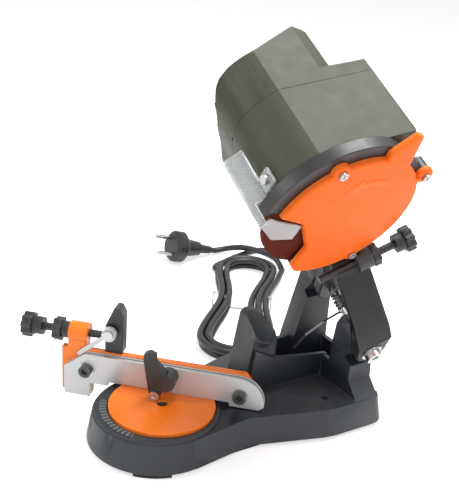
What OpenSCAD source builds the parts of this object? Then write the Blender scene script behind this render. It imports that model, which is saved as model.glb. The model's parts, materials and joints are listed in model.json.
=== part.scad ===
// Bench-top electric sharpener for saw chain, in millimetres, +Z up.
// A turning vise on the front of the base holds the chain, and a motor head with a
// grinding wheel swings down onto it on a sprung arm. Every piece is placed from three
// axes: the turntable axis (the working origin), the arm's pivot and the wheel's spindle.

/* [Base] */
// Height of the deck of the base
deck_h = 25; // [22:0.5:30]
// Radius of the round front of the base at deck height
lobe_r = 48; // [46:1:54]
// Distance from the turntable axis back to the centre of the round front
lobe_back = 4; // [0:1:8]
// Distance from the turntable axis to the narrow waist
waist_x = 53; // [50:1:58]
// Half width of the base at the waist
waist_half = 40; // [36:1:44]
// Distance from the turntable axis to where the rear is widest
shoulder_x = 118; // [112:1:124]
// Half width of the rear of the base
rear_half = 58; // [54:1:64]
// Distance from the turntable axis to the rear edge of the base
rear_x = 165; // [162:1:172]
// How far the foot of the skirt stands outside the deck
skirt_flare = 4; // [2:0.5:5]
// Thickness of the base shell
base_wall = 3; // [2.5:0.5:4]
// Height of the rubber feet under the skirt
foot_h = 3.5; // [2.5:0.5:5]
// Radius of the two bench screw holes
bench_hole_r = 3.25; // [2.5:0.25:3.75]
// Distance from the turntable axis to the bench screw holes
bench_hole_x = 121; // [116:1:124]
// Sideways distance of each bench screw hole from the middle
bench_hole_y = 41; // [38:1:44]

/* [Arm] */
// Distance from the turntable axis to the arm's pivot
pivot_x = 152; // [150:1:153]
// Height of the pivot at the near face of the arm
pivot_z = 64; // [63:0.5:65]
// Tilt of the pivot and of the spindle above level
head_tilt = 30; // [29:0.5:31]
// Lean of the raised arm back over the base
rest_lean = 28; // [27:0.5:29]
// Swing of the arm from raised to its stop
swing_angle = 51; // [48:0.5:52]
// Distance from the pivot to the spindle
arm_reach = 134; // [133:0.5:136]
// Radius of the pivot bolt
pivot_r = 4; // [3:0.25:4.5]
// Thickness of the ears of the arm
ear_t = 10; // [8:0.5:11]

/* [Grinding head] */
// Radius of the grinding wheel
wheel_r = 54; // [50:0.5:54.5]
// Thickness of the grinding wheel
wheel_t = 4.5; // [3.2:0.1:4.5]
// Radius of the bore of the grinding wheel
wheel_bore_r = 11.1; // [10:0.05:12]
// Radius of the barrel of the motor housing
barrel_r = 59.5; // [58:0.5:60]
// Thickness of the motor housing
shell_t = 3; // [2.5:0.25:4]
// Depth of the front half of the motor housing
front_shell_depth = 58; // [56:1:60]
// Depth of the rear cap of the motor housing
rear_cap_depth = 54; // [52:1:58]
// Radius of the wheel guard
guard_r = 61.5; // [61:0.25:62]
// Depth of the wheel guard
guard_depth = 9.5; // [9.5:0.25:11]
// Radius of the orange guard cover
cover_r = 56; // [55:0.5:57]
// Thickness of the guard cover with its rim
cover_t = 4.5; // [4:0.25:5]
// Radius of the spindle
spindle_r = 5; // [4:0.25:5.5]
// Thickness of the clear shield
shield_t = 1.6; // [1.2:0.1:2]

/* [Vise] */
// Radius of the turntable
disc_r = 40; // [38:0.5:41]
// Thickness of the turntable disc
disc_t = 4.6; // [4:0.2:5]
// Angle between the rail and the length of the base
vise_angle = 42.6; // [35:0.2:50]
// Distance of the near rail's face behind the turntable axis
rail_y = 15.8; // [15:0.2:17]
// Thickness of the near rail
rail_t = 2.5; // [2:0.1:3]
// Thickness of the far rail
far_rail_t = 1.7; // [1.4:0.1:2]
// Width of the slot that takes the chain's drive links
slot_w = 1.8; // [1.3:0.1:2]
// Top of the rails above the bench
rail_top = 50.5; // [49:0.5:52]
// Length of the rail to the left of the turntable axis
rail_left = 83; // [80:1:86]
// Length of the rail to the right of the turntable axis
rail_right = 74; // [70:1:76]
// Thickness of the orange bar behind the rails
bar_t = 5.4; // [4.5:0.2:7]
// Height of the stop screw above the bench
stop_z = 62.5; // [61:0.5:64]
// Radius of the stop screw
stop_rod_r = 3; // [2.5:0.1:3.2]

/* [Cord] */
// Radius of the mains cord
cord_r = 3.2; // [3:0.1:3.2]
// Length of the hank
hank_len = 232; // [220:2:240]
// Width of the hank at its widest
hank_w = 76; // [66:1:80]

/* [Fits] */
// Gap between parts that turn or slide past each other
run_gap = 0.3; // [0.3:0.05:0.4]
// Radial clearance of a shaft in its bore
fit = 0.05; // [0.03:0.01:0.08]
// Gap between parts that are fixed together
seat_gap = 0.05; // [0.05:0.01:0.1]

/* [Hidden] */
$fn = 64;

// Pieces drawn by name, and which of them to draw

// Colours of the pieces
dark_grey = [0.20, 0.21, 0.23];
black = [0.06, 0.06, 0.065];
orange = [1.0, 0.42, 0.13];
steel = [0.72, 0.72, 0.74];
stone = [0.48, 0.20, 0.13];

// --- Derived from the base ---
ledge_h = deck_h + 1.5;
seat_z = ledge_h - 2.5;
disc_top = seat_z + run_gap + disc_t;
bar_bottom = ledge_h + 0.7;
post_round = 8;
rear_foot_x = rear_x - 14;
rear_foot_y = rear_half - 13;
// The block behind the turntable: its front wall, its back wall and the trough between them
front_wall_y = -10;
block_wall = 4;
back_wall_y = 21;
tower_right_x = 96;
near_tower_x = pivot_x - 12.5;
near_tower_y = -45;
tower_end_x = 161;

// --- Derived from the arm ---
pivot_y = -53;
near_seat = ear_t + run_gap;
near_seat_end = near_seat + 15;
far_ear = 62;
far_seat = far_ear + ear_t + 3;
far_seat_end = far_seat + 14;
ear_r = 13;
pocket_r = ear_r + 3;
arm_left = -7.5;
arm_right = 19;
leg_start = 10;
leg_slope = 0.75;
plate_low = arm_reach - guard_r - 10.5;
plate_high = plate_low + 5;
screw_a = 44;
screw_z = plate_low + 3;
screw_r = 3;
// Where the tip of the depth screw stands along the arm's own X
tip_x = -20;
knob_x = 49;
knob_t = 7;
knob_r = 10;

// --- Derived from the head, measured back from the front of the cover ---
cover_a = 46.5;
guard_front = cover_t;
guard_back = guard_front + guard_depth;
wheel_front = guard_front + 2.7;
wheel_back = wheel_front + wheel_t;
cap_front = guard_back + front_shell_depth;
cap_back = cap_front + rear_cap_depth;
// Rear end of the barrel; the block behind the box reaches further
cap_end = cap_back - 16;
box_step = cap_front + 11;
box_side = 63;
flat_side = 43;
flat_top = 34;
cavity_r = 39;
stator_r = 36;
rotor_r = 20;
bearing_r = 13;
bearing_t = 8;
fan_back = cap_end - 17;
// The cover's centre lies below the spindle's, so that it hangs low
cover_drop = 6;
cover_corner = [56, 52];
cover_bevel = 1.6;
cover_turn = -65;
cover_ears = [[2, cover_r - 7], [cover_r + 8, 1], [8, -cover_r - 2.5]];

// --- Derived from the vise ---
slot_y = rail_y + rail_t;
far_rail_y = slot_y + slot_w;
bar_y = far_rail_y + far_rail_t;
bar_back = bar_y + bar_t;
bar_top = rail_top + 1;
rail_bottom = deck_h + 1;
notch_half = 47.5;
notch_z = disc_top + 0.4;
foot_left = 62;
foot_z = 14;
stop_y = bar_back + 1.4;
carrier_x = -45.5;
stop_left = -rail_left - 37;
lever_x = -7;
lever_z = disc_top + 5.1;

// The origin: the middle of the part's box on the bench, between the stop knob at the left and
// far side, the depth knob at the rear, and a corner of the guard cover at the near side
box_left = stop_left * cos(vise_angle) + (stop_y - knob_r) * sin(vise_angle);
box_right = pivot_x + (knob_x + knob_t) * cos(rest_lean) - (screw_z - knob_r) * sin(rest_lean);
box_near = pivot_y + cover_a * cos(head_tilt) - sin(head_tilt) * (cover_corner.x * sin(rest_lean)
    + (arm_reach + cover_corner.y - cover_bevel) * cos(rest_lean));
box_far = (stop_y + knob_r) * cos(vise_angle) - stop_left * sin(vise_angle);
box_mid_x = (box_left + box_right) / 2;
box_mid_y = (box_near + box_far) / 2;

// --- Frames ---
module base_frame()
    translate([-box_mid_x, -box_mid_y, 0]) children();

module vise_frame()
    base_frame() rotate([0, 0, -vise_angle]) children();

// Y runs along the pivot away from its near end, Z up the slope of the raised arm
module pivot_frame()
    base_frame() translate([pivot_x, pivot_y, pivot_z]) rotate([head_tilt, 0, 0]) children();

module arm_frame(lean = rest_lean)
    pivot_frame() rotate([0, -lean, 0]) children();

module head_frame()
    arm_frame() translate([0, cover_a, arm_reach]) children();

// --- Shapes ---
// Cylinder along Y from y0 to y1
module rod_y(r, y0, y1)
    translate([0, y0, 0]) rotate([-90, 0, 0]) cylinder(r = r, h = y1 - y0);

// Cylinder along X from x0 to x1
module rod_x(r, x0, x1)
    translate([x0, 0, 0]) rotate([0, 90, 0]) cylinder(r = r, h = x1 - x0);

// Outline in X and Z, drawn out along Y
module plate_y(y0, y1)
    translate([0, y1, 0]) rotate([90, 0, 0]) linear_extrude(y1 - y0) children();

// Outline in Y and Z, drawn out along X
module plate_x(x0, x1)
    translate([x0, 0, 0]) rotate([90, 0, 90]) linear_extrude(x1 - x0) children();

module block(low, high)
    translate(low) cube(high - low);

// Everything on the far side of a line that passes inset inside (x, z) and faces turn
module beyond(x, z, turn, inset = 0)
    translate([x, z]) rotate(turn) translate([-inset, -200]) square([400, 400]);

// Outline of a knob with grip lobes
module lobed(r, lobes) {
    grip = 0.9;
    polygon([for (i = [0 : 6 * lobes - 1]) let (turn = 60 * i / lobes)
        (r - grip + grip * cos(lobes * turn)) * [cos(turn), sin(turn)]]);
}

// Knob with grip lobes, along X from x0 to x1
module lobed_x(r, lobes, x0, x1)
    plate_x(x0, x1) lobed(r, lobes);

// --- Sweep of a tube along points ---
function unit(v) = v / norm(v);
function between(p, i) = unit(p[min(i + 1, len(p) - 1)] - p[max(i - 1, 0)]);
function side_of(t, hint) = unit(hint - (hint * t) * t);
// Side vectors carried along the tube, each one squared to the next direction
function sides(p, i, last) = i >= len(p)
    ? []
    : let (s = side_of(between(p, i), last)) concat([s], sides(p, i + 1, s));

// Closed tube of radius r with n sides along the points p; the side hint isn't along p
module tube(p, r, n, hint) {
    s = sides(p, 0, hint);
    m = len(p);
    ring_points = [for (i = [0 : m - 1]) let (t = between(p, i), b = cross(t, s[i]))
        for (j = [0 : n - 1]) p[i] + r * (cos(360 * j / n) * s[i] + sin(360 * j / n) * b)];
    walls = [for (i = [0 : m - 2]) for (j = [0 : n - 1]) let (k = (j + 1) % n)
        each [[i * n + j, (i + 1) * n + k, i * n + k], [i * n + j, (i + 1) * n + j, (i + 1) * n + k]]];
    caps = [for (j = [1 : n - 2])
        each [[0, j, j + 1], [(m - 1) * n, (m - 1) * n + j + 1, (m - 1) * n + j]]];
    polyhedron(points = ring_points, faces = concat(walls, caps));
}

// Smooth curve through the points, a given number of steps to each stretch
function spline(p, steps) = concat([for (i = [0 : len(p) - 2]) for (k = [0 : steps - 1])
    let (u = k / steps, a = p[max(i - 1, 0)], b = p[i], c = p[i + 1], d = p[min(i + 2, len(p) - 1)])
    0.5 * (2 * b + (c - a) * u + (2 * a - 5 * b + 4 * c - d) * u * u
        + (3 * b - a - 3 * c + d) * u * u * u)], [p[len(p) - 1]]);

// --- Base ---
// Drafted skirt: round front, narrow waist and wide rear
module skirt_post(x, y, r, inset, top)
    translate([x, y, foot_h]) cylinder(r1 = r + skirt_flare - inset, r2 = r - inset, h = top - foot_h);

module skirt(inset, top) {
    waist_r = 10;
    shoulder_r = 22;
    hull() {
        skirt_post(-lobe_back, 0, lobe_r, inset, top);
        for (s = [-1, 1]) skirt_post(waist_x, s * (waist_half - waist_r), waist_r, inset, top);
    }
    hull() {
        for (s = [-1, 1]) {
            skirt_post(waist_x, s * (waist_half - waist_r), waist_r, inset, top);
            skirt_post(shoulder_x, s * (rear_half - shoulder_r), shoulder_r, inset, top);
            skirt_post(rear_x - post_round, s * (rear_half - post_round), post_round, inset, top);
        }
    }
}

module front_wall_outline()
    polygon([[70, 22], [75, 60], [92, 51], [145, 43], [145, 22]]);

module left_tower_outline()
    polygon([[67, 22], [76.5, 81], [80, 84], [87, 84], [90, 81], [tower_right_x, 66], [tower_right_x, 22]]);

module near_tower_outline()
    polygon([[-57, 22], [-57, 25], [near_tower_y, 37], [near_tower_y, 62], [-38, 84], [-24, 88],
        [-20, 60], [-18, 22]]);

module far_tower_outline()
    polygon([[120, 22], [127, 47], [141, 98], [145, 115], [149, 119], [157, 119], [tower_end_x, 113],
        [tower_end_x, 22]]);

// Space that the ears of the arm sweep: all that is nearer than a seat and above the pocket
module ear_pocket(seat, from)
    pivot_frame() block([-120, from, -pocket_r], [40, seat, 90]);

module bench_pads(r, low, high)
    for (s = [-1, 1])
        translate([bench_hole_x, s * bench_hole_y, low]) cylinder(r = r, h = high - low);

module base() color(dark_grey) difference() {
    union() {
        base_frame() {
            difference() {
                skirt(0, deck_h);
                translate([0, 0, -1]) skirt(base_wall, deck_h + 1 - base_wall);
            }
            // Ledge and boss of the turntable
            translate([-lobe_back, 0, deck_h - base_wall])
                cylinder(r = lobe_r - 1, h = base_wall + ledge_h - deck_h);
            translate([0, 0, 16]) cylinder(r = 13, h = deck_h - 16);
            bench_pads(9, foot_h, deck_h);
            // Posts over the rear feet
            for (s = [-1, 1]) translate([rear_foot_x, s * rear_foot_y, foot_h])
                cylinder(r = 6, h = deck_h - foot_h);
            // Trough block
            plate_y(front_wall_y, front_wall_y + block_wall) front_wall_outline();
            plate_y(back_wall_y - block_wall, back_wall_y)
                polygon([[80, 22], [84, 50], [150, 50], [150, 22]]);
            plate_y(-6, back_wall_y - 1) left_tower_outline();
            block([near_tower_x, near_tower_y + 1, 22], [near_tower_x + block_wall, front_wall_y + 1, 43]);
            block([tower_end_x - block_wall, -30, 22], [tower_end_x, 20, 45]);
            plate_y(14, 32) far_tower_outline();
            plate_x(near_tower_x, tower_end_x) near_tower_outline();
        }
        // Seats of the pivot bolt
        pivot_frame() rod_y(ear_r - 1, near_seat, near_seat_end);
        pivot_frame() rod_y(ear_r - 1, far_seat, far_seat_end);
        // Boss that the depth screw meets when the arm is down
        arm_frame(rest_lean + swing_angle) translate([0, screw_a, screw_z])
            rod_x(8, tip_x - 16, tip_x - run_gap);
    }
    ear_pocket(near_seat, -60);
    ear_pocket(far_seat, near_seat_end + 8);
    pivot_frame() rod_y(11, far_seat_end, far_seat_end + 40);
    pivot_frame() rod_y(pivot_r + fit, 0, far_seat_end + 20);
    base_frame() {
        translate([0, 0, seat_z]) cylinder(r = disc_r + run_gap, h = 20);
        translate([0, 0, 10]) cylinder(r = 6 + fit, h = 40);
        bench_pads(bench_hole_r, 0, deck_h + 1);
    }
}

// Rubber pads under the rim, two at the front, two at the waist and two at the rear
module front_foot(turn)
    translate([-lobe_back, 0, 0]) rotate(turn) rotate_extrude(angle = 32)
        translate([lobe_r - 6, 0]) square([8, foot_h]);

module foot(i) color(black) base_frame() {
    s = i % 2 == 0 ? 1 : -1;
    if (i <= 2) front_foot(s > 0 ? 104 : 224);
    else if (i <= 4) translate([50, s * (waist_half - 1), foot_h / 2]) cube([24, 7, foot_h], center = true);
    else translate([rear_foot_x, s * rear_foot_y, 0]) cylinder(r = 8, h = foot_h);
}

module scale_plate() color(steel) base_frame()
    rotate(145) rotate_extrude(angle = 70) translate([disc_r + 1.5, ledge_h]) square([5, 0.4]);

// --- Vise ---
module turntable() color(orange) vise_frame() difference() {
    union() {
        translate([0, 0, seat_z + run_gap]) cylinder(r = disc_r, h = disc_t);
        // Bar behind the rails, with the foot at its left end
        plate_y(bar_y, bar_back) polygon([[-rail_left - 4, foot_z], [-foot_left, foot_z],
            [-foot_left, bar_bottom], [64, bar_bottom], [66, bar_bottom + 6.8], [64, bar_top - 7.5],
            [58, bar_top],
            [-rail_left - 4, bar_top]]);
        // Upright arm that carries the stop screw
        plate_y(bar_y, stop_y + 3) polygon([[-rail_left - 4, 30], [-foot_left - 4, 30],
            [-foot_left - 6, stop_z], [-rail_left + 1, stop_z], [-rail_left + 1, 53], [-rail_left - 4, 47]]);
        translate([0, stop_y, stop_z]) rod_x(8, -rail_left + 1, -rail_left + 16);
        // Post for the clamp lever
        block([lever_x - 5, 9.5, disc_top - 1], [lever_x + 4, rail_y - 0.5, lever_z + 2]);
    }
    translate([0, stop_y, stop_z]) rod_x(stop_rod_r + fit, -rail_left - 5, -rail_left + 20);
    translate([0, 0, 10]) cylinder(r = 4 + seat_gap, h = 40);
    translate([lever_x, 0, lever_z - 0.5]) rod_y(2 + seat_gap, 5, rail_y - 1);
    for (i = [1, 2]) rail_bore(i, bar_y - 1, bar_back - 1);
}

function rail_screw_at(i) = [i == 1 ? -65 : 55.5, 0, rail_bottom + (i == 1 ? 11.5 : 10)];

module rail_bore(i, y0, y1)
    translate(rail_screw_at(i)) rod_y(2.5 + seat_gap, y0, y1);

module rail_outline() {
    end_r = 20;
    polygon([[-rail_left, foot_z], [-foot_left, foot_z], [-foot_left, rail_bottom],
        [-notch_half, rail_bottom], [-notch_half, notch_z], [notch_half, notch_z], [notch_half, rail_bottom],
        [rail_right - 4, rail_bottom], [rail_right, rail_bottom + 3], [rail_right - end_r, rail_top],
        [-rail_left + 17, rail_top], [-rail_left, rail_top - 12.5]]);
    intersection() {
        translate([rail_right - end_r, rail_top - end_r]) circle(end_r);
        translate([0, rail_bottom + 3]) square([rail_right, 60]);
    }
}

module near_rail() color(steel) vise_frame() difference() {
    plate_y(rail_y, slot_y) rail_outline();
    for (i = [1, 2]) rail_bore(i, rail_y - 1, slot_y + 1);
}

// The far rail ends short of the stop screw's upright arm and stands a little lower
module far_rail() color(steel) vise_frame() difference() {
    plate_y(far_rail_y, bar_y - seat_gap) rail_outline();
    for (i = [1, 2]) rail_bore(i, far_rail_y - 1, bar_y + 1);
}

module rail_screw(i) color(black) vise_frame() {
    translate(rail_screw_at(i)) difference() {
        union() {
            rod_y(5, rail_y - 4.5, rail_y - 1 - seat_gap);
            rod_y(2.5, rail_y - 2, bar_back - 1 - seat_gap);
        }
        translate([0, rail_y - 5, 0]) rotate([-90, 0, 0]) cylinder(r = 2.3, h = 2.5, $fn = 6);
    }
}

// Washer under the head and spacer in the slot, on one screw
module rail_washer(i) color(steel) vise_frame() {
    translate(rail_screw_at(i)) difference() {
        rod_y(6.2, rail_y - 1, rail_y - seat_gap);
        rod_y(2.5 + seat_gap, rail_y - 2, rail_y + 1);
    }
}

module turntable_bolt() color(steel) base_frame() difference() {
    union() {
        translate([0, 0, 7]) cylinder(r = 4, h = disc_top - 9);
        translate([0, 0, disc_top - 2.6]) cylinder(r = 4, h = 2);
    }
}

module turntable_knob() color(black) base_frame() difference() {
    union() {
        translate([0, 0, 6]) linear_extrude(7) lobed(14, 8);
        translate([0, 0, 12]) cylinder(r = 8, h = 4 - run_gap);
    }
    translate([0, 0, 5]) cylinder(r = 4 + seat_gap, h = 20);
}

// Cam lever that presses the near rail: hub, handle and cam boss
module clamp_lever() color(black) vise_frame() difference() {
    translate([lever_x, 0, lever_z - 0.5]) union() {
        rod_y(4.3, 2.5, 9.5 - run_gap);
        plate_y(2.5, 8.5)
            polygon([[-4.3, 0], [-9.5, 28], [-9, 33], [-5, 35], [0, 33], [0, 28], [10, 16], [4.3, 0]]);
        translate([8, 0, 11]) rod_y(7, 2.5, rail_y - run_gap);
    }
    translate([lever_x, 0, lever_z - 0.5]) rod_y(2 + fit, 0, 12);
}

module clamp_screw() color(steel) vise_frame()
    translate([lever_x, 0, lever_z - 0.5]) difference() {
        union() {
            rod_y(4, 0, 2.5 - run_gap);
            rod_y(2, 1, rail_y - 1.5);
        }
        translate([0, -0.5, 0]) rotate([-90, 0, 0]) cylinder(r = 1.6, h = 1.6, $fn = 6);
    }

// --- Chain stop ---
module stop_screw() color(black) vise_frame() translate([0, stop_y, stop_z]) {
    lobed_x(knob_r, 9, stop_left, stop_left + knob_t + 1);
    rod_x(7, stop_left + knob_t, stop_left + 16);
    rod_x(stop_rod_r, stop_left + 15, carrier_x - 9);
}

module stop_lock_nut() color(black) vise_frame() translate([0, stop_y, stop_z]) difference() {
    union() {
        lobed_x(9.5, 7, -rail_left - 12, -rail_left - 5);
        rod_x(6.5, -rail_left - 6, -rail_left + 1 - run_gap);
    }
    rod_x(stop_rod_r + fit, -rail_left - 13, -rail_left + 2);
}

module stop_carrier() color(black) vise_frame() difference() {
    plate_y(bar_y + 0.4, stop_y + 5) polygon([[carrier_x - 7, bar_top + run_gap],
        [carrier_x + 7, bar_top + run_gap], [carrier_x + 7, 84], [carrier_x + 4, 90], [carrier_x, 90],
        [carrier_x - 7, 74]]);
    translate([0, stop_y, stop_z]) rod_x(stop_rod_r + seat_gap, carrier_x - 12, carrier_x - 2);
    translate([carrier_x - 2, 0, 70]) rod_y(2 + seat_gap, 15, 28);
}

module pawl_pin() color(steel) vise_frame() translate([carrier_x - 2, 0, 70]) {
    rod_y(4, 13, 15);
    rod_y(2, 14, 28 - seat_gap);
}

// Strip from the pin down into the slot, behind a ring
module stop_pawl() color(steel) vise_frame() difference() {
    union() {
        plate_y(slot_y + 0.3, slot_y + slot_w - 0.2)
            polygon([[carrier_x - 4, 66], [carrier_x + 1, 74], [-70, 53], [-74, 49], [-72, 47], [-69, 49]]);
        translate([carrier_x - 2, 0, 70]) rod_y(5.5, 15 + run_gap, slot_y + slot_w - 0.2);
    }
    translate([carrier_x - 2, 0, 70]) rod_y(2 + fit, 10, 30);
}

// --- Arm ---
module ear_outline() {
    circle(ear_r);
    polygon([[-ear_r, 0], [-9, leg_start + 8], [arm_left, 40], [arm_right, 40], [arm_right, 18],
        [15.5, 5], [12, -4]]);
}

module leg_outline()
    polygon([[-9, 0], [-9, leg_start + 8], [arm_left, 30], [arm_left, plate_high], [arm_right, plate_high],
        [arm_right, 18], [16, 0]]);

module swing_arm() color(dark_grey) arm_frame() difference() {
    union() {
        // Near ear, with the slanted panel that leads back under the wheel guard
        intersection() {
            plate_y(0, ear_t) ear_outline();
            plate_x(-20, 30) polygon([[0, -20], [0, leg_start], [ear_t, leg_start + ear_t / leg_slope],
                [ear_t, -20]]);
        }
        intersection() {
            plate_y(-1, 70) leg_outline();
            plate_x(-20, 30) polygon([[0, leg_start], [leg_slope * (plate_high - leg_start), plate_high],
                [leg_slope * (plate_high - leg_start) + 8, plate_high], [8, leg_start]]);
        }
        // Far ear and leg
        plate_y(far_ear, far_ear + ear_t) union() {
            circle(ear_r);
            polygon([[-ear_r, 0], [arm_left, 30], [arm_left, plate_high], [arm_right, plate_high],
                [arm_right, 18], [ear_r, 0]]);
        }
        // Web down the back, cut to the slant of the panel
        intersection() {
            block([arm_right - 5, 0, 24], [arm_right, far_ear + 1, plate_high]);
            plate_x(0, 40) polygon([[leg_slope * (24 - leg_start) + 1, 24],
                [leg_slope * (plate_high - leg_start) + 1, plate_high], [90, plate_high], [90, 24]]);
        }
        // Shelf and cradle under the barrel
        block([arm_left, leg_slope * (plate_low - leg_start), plate_low], [arm_right, 118, plate_high]);
        block([arm_left, cover_a + guard_back + 1, plate_high - 1],
            [arm_right, 118, arm_reach - barrel_r + 3]);
        // Threaded boss of the depth screw
        translate([0, screw_a, screw_z]) rod_x(8, arm_right - 9, arm_right + 3);
    }
    rod_y(pivot_r + fit, -1, far_ear + ear_t + 1);
    translate([0, screw_a, screw_z]) rod_x(screw_r + fit, arm_left - 20, arm_right + 20);
    head_clearance();
}

// The barrel and the guard, taken out of what seats against them
module head_clearance()
    translate([0, cover_a, arm_reach]) {
        rod_y(cover_r + cover_drop + 1, -1, guard_back + 0.5);
        translate([cover_ears[2].x, 0, cover_ears[2].y]) rod_y(7, -1, guard_back + 0.5);
        rod_y(barrel_r + seat_gap, guard_back, cap_back);
    }

module pivot_bolt() color(steel) pivot_frame() difference() {
    union() {
        rod_y(6.5, -6, -1);
        rod_y(pivot_r, -2, far_seat_end + 8);
    }
    translate([0, -7, 0]) rotate([-90, 0, 0]) cylinder(r = 3, h = 4, $fn = 6);
}

module pivot_washer() color(steel) pivot_frame() difference() {
    rod_y(8.5, -1 + 0.05, -0.25);
    rod_y(pivot_r + fit, -2, 1);
}

module pivot_nut() color(steel) pivot_frame() translate([0, far_seat_end + run_gap, 0]) rotate([-90, 0, 0])
    difference() {
        cylinder(r = 7.5, h = 6, $fn = 6);
        translate([0, 0, -1]) cylinder(r = pivot_r + fit, h = 10);
    }

// Torsion spring round the pivot bolt, with one leg on the base and one on the arm
spring_a = 41;
spring_pitch = 3;
spring_coils = 4;
wire_r = 0.9;
spring_r = pivot_r + wire_r + 0.4;
coil_start = 200;
function coil_point(k) = let (turn = coil_start + 360 * k)
    [spring_r * cos(turn), spring_a + spring_pitch * k, spring_r * sin(turn)];
function spring_points() = concat(
    [[-38, 36, -34], [-32, 37.5, -20], [-20, 39, -8], [-11.5, 40, -4]],
    [for (k = [0 : 1 / 12 : spring_coils]) coil_point(k)]);

module return_spring() color(steel) pivot_frame()
    tube(spring_points(), wire_r, 6, [0, 1, 0]);

module spring_arm_leg() color(steel) pivot_frame() {
    tip = coil_point(spring_coils);
    tube([tip + [-0.2, 2.2, 0.4], tip + [-1, 2.4, 6], tip + [1, 3, 16], tip + [4, 4, 25]],
        wire_r, 6, [0, 1, 0]);
}

// --- Depth stop ---
module depth_screw() color(black) arm_frame() translate([0, screw_a, screw_z]) {
    rod_x(screw_r, tip_x, knob_x);
    rod_x(7, knob_x - 7, knob_x + 1);
    lobed_x(knob_r, 9, knob_x, knob_x + knob_t);
}

module depth_lock_nut() color(black) arm_frame() translate([0, screw_a, screw_z]) difference() {
    lobed_x(9, 7, arm_right + 3 + run_gap, arm_right + 9);
    rod_x(screw_r + fit, arm_right, arm_right + 12);
}

// --- Grinding head ---
// Notch at the left where the wheel stands clear of the guard
module notch_outline(grow = 0)
    polygon([[-90, 34 + grow], [-44.5, 34 + grow], [-27.5 + grow, 11.5], [-26.3 + grow, -22],
        [-38.7, -37 - grow], [-36, -52 - grow], [-36, -90], [-90, -90]]);

module cover_outline(inset = 0) {
    difference() {
        union() {
            rotate(cover_turn) translate([cover_drop, 0]) circle(cover_r - inset);
            // Ears of the three screws
            for (at = cover_ears) translate(at) circle(6.5 - inset);
            polygon([[30, 30], [37, 46 - inset], [cover_corner.x, cover_corner.y - inset],
                [60 - inset, 48], [50, 20]]);
        }
        notch_outline(inset);
    }
}

module cover_screw_place(i)
    translate([cover_ears[i - 1].x, 0, cover_ears[i - 1].y]) children();

module guard_cover() color(orange) head_frame() difference() {
    union() {
        plate_y(1.5, cover_t) cover_outline();
        plate_y(0, 2) cover_outline(cover_bevel);
    }
    // Hollow behind the face
    plate_y(2.5, cover_t + 1) difference() {
        rotate(cover_turn) translate([cover_drop, 0]) circle(cover_r - 3.5);
        notch_outline(3);
    }
    for (i = [1 : 3]) cover_screw_place(i) rod_y(1.8 + seat_gap, -1, cover_t + 1);
}

module guard_outline(r, inset = 0)
    difference() {
        union() {
            circle(r);
            for (i = [1, 2]) translate(cover_ears[i]) circle(5.5 - inset);
        }
        notch_outline(inset);
    }

module wheel_guard() color(black) head_frame() difference() {
    plate_y(guard_front + seat_gap, guard_back) guard_outline(guard_r);
    rod_y(guard_r - 4, wheel_front - 1, wheel_back + 0.8);
    // Opening behind the cover
    plate_y(0, wheel_front) rotate(cover_turn) translate([cover_drop - 2, 0]) circle(cover_r - 6);
    rod_y(17, wheel_front, guard_back + 1);
    for (i = [1 : 3]) cover_screw_place(i) rod_y(1.8 + seat_gap, 0, guard_front + 5);
}

module cover_screw(i) color(steel) head_frame() cover_screw_place(i) difference() {
    union() {
        rod_y(3.2, -2.2, -seat_gap);
        rod_y(1.8, -1, guard_front + 2);
    }
    block([-0.4, -3, -2.4], [0.4, -1.4, 2.4]);
    block([-2.4, -3, -0.4], [2.4, -1.4, 0.4]);
}

module grinding_wheel() color(stone) head_frame() difference() {
    rod_y(wheel_r, wheel_front, wheel_back);
    rod_y(wheel_bore_r, wheel_front - 1, wheel_back + 1);
}

module outer_flange() color(steel) head_frame() difference() {
    rod_y(16, wheel_front - 1.4, wheel_front - seat_gap);
    rod_y(spindle_r + seat_gap, 0, wheel_back);
}

// Inner flange, with the spigot that centres the wheel
module inner_flange() color(steel) head_frame() difference() {
    union() {
        rod_y(wheel_bore_r - fit, wheel_front + 0.2, wheel_back + 0.5);
        rod_y(15, wheel_back + seat_gap, wheel_back + 1.5);
        rod_y(8, wheel_back + 1, guard_back + 1);
    }
    rod_y(spindle_r + seat_gap, 0, guard_back + 2);
}

module wheel_nut() color(steel) head_frame() translate([0, wheel_front - 4.1, 0]) rotate([-90, 0, 0])
    difference() {
        cylinder(r = 8.5, h = 2.6, $fn = 6);
        translate([0, 0, -1]) cylinder(r = spindle_r + seat_gap, h = 8);
    }

module spindle() color(steel) head_frame()
    rod_y(spindle_r, wheel_front - 4, cap_end - 6);

// Laminated rotor with the fan behind it
module rotor() color(steel) head_frame() difference() {
    union() {
        rod_y(rotor_r, guard_back + 30, guard_back + 66);
        rod_y(9, guard_back + 66, fan_back);
        for (i = [0 : 8]) rotate([0, i * 40, 0]) block([8, fan_back - 8, -0.8], [32, fan_back, 0.8]);
        rod_y(32, fan_back - 9, fan_back - 7.5);
    }
    rod_y(spindle_r + seat_gap, guard_back, cap_back);
}

module stator() color(steel) head_frame() difference() {
    rod_y(stator_r, guard_back + 32, guard_back + 64);
    rod_y(rotor_r + 0.6, guard_back + 30, guard_back + 70);
}

module front_bearing() color(steel) head_frame() difference() {
    rod_y(bearing_r, guard_back + 3, guard_back + 3 + bearing_t);
    rod_y(spindle_r + fit, guard_back, guard_back + 20);
}

module rear_bearing() color(steel) head_frame() difference() {
    rod_y(bearing_r, cap_end - 14, cap_end - 14 + bearing_t - 0.1);
    rod_y(spindle_r + fit, cap_back - 30, cap_back);
}

// Section of the front half: the barrel and the box on its right under one sloping top
module front_outline(inset = 0) difference() {
    union() {
        circle(barrel_r - inset);
        translate([0, inset - 38]) square([100, 110]);
    }
    beyond(-flat_side, 0, 180, inset);
    beyond(-flat_side, flat_top, 150, inset);
    beyond(57, 39.5, 72.6, inset);
    beyond(box_side, 0, 0, inset);
    beyond(63, -12, -33.7, inset);
}

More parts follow.
